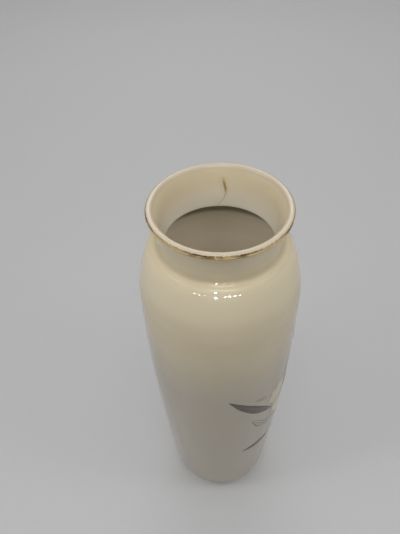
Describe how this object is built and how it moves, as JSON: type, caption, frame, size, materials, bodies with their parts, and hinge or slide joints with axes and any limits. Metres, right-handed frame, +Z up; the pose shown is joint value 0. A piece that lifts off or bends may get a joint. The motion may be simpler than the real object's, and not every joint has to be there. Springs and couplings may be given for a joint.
{
  "type": "porcelain vase",
  "caption": "Tall ivory porcelain vase with a rolled gilt lip, short flared neck, high round shoulder, tapering body and a fired floral spray on one side.",
  "frame": {"origin": "centre of the foot ring, on the plane the vase stands on", "axes": "+Z up along the axis of the vase; -Y towards the plain front; the floral spray is centred near the +X side"},
  "size_m": [0.0924, 0.0924, 0.254],
  "materials": {
    "ivory_glaze": "clear high-gloss glaze over warm ivory porcelain",
    "fired_gold": "bright fired gold, brushed on, slightly streaked and worn",
    "petal_enamel": "translucent cream-yellow overglaze enamel, fired glossy",
    "stamen_enamel": "ochre overglaze enamel, fired glossy",
    "bud_enamel": "mauve-grey overglaze enamel, fired glossy",
    "leaf_enamel": "dark grey-green overglaze enamel, fired glossy",
    "pale_leaf_enamel": "thin grey-green overglaze enamel, fired glossy",
    "stem_enamel": "olive-brown overglaze enamel line, fired glossy"
  },
  "bodies": {
    "root": {"porcelain_body": "ivory_glaze", "gilt_lip_band": "fired_gold", "petal_1": "petal_enamel", "petal_2": "petal_enamel", "petal_3": "petal_enamel", "petal_4": "petal_enamel", "petal_5": "petal_enamel", "flower_centre": "stamen_enamel", "bud_petal_left": "bud_enamel", "bud_petal_middle": "bud_enamel", "bud_petal_right": "bud_enamel", "small_bud": "bud_enamel", "leaf_long_left": "leaf_enamel", "leaf_narrow_low": "leaf_enamel", "leaf_long_right": "leaf_enamel", "bud_calyx": "leaf_enamel", "leaf_sliver_left": "pale_leaf_enamel", "leaf_curled_left": "pale_leaf_enamel", "leaf_broad_right": "pale_leaf_enamel", "leaf_small_high": "pale_leaf_enamel", "stem_main": "stem_enamel", "stem_bud": "stem_enamel", "stem_left": "stem_enamel", "stem_right": "stem_enamel"}
  },
  "joints": []
}
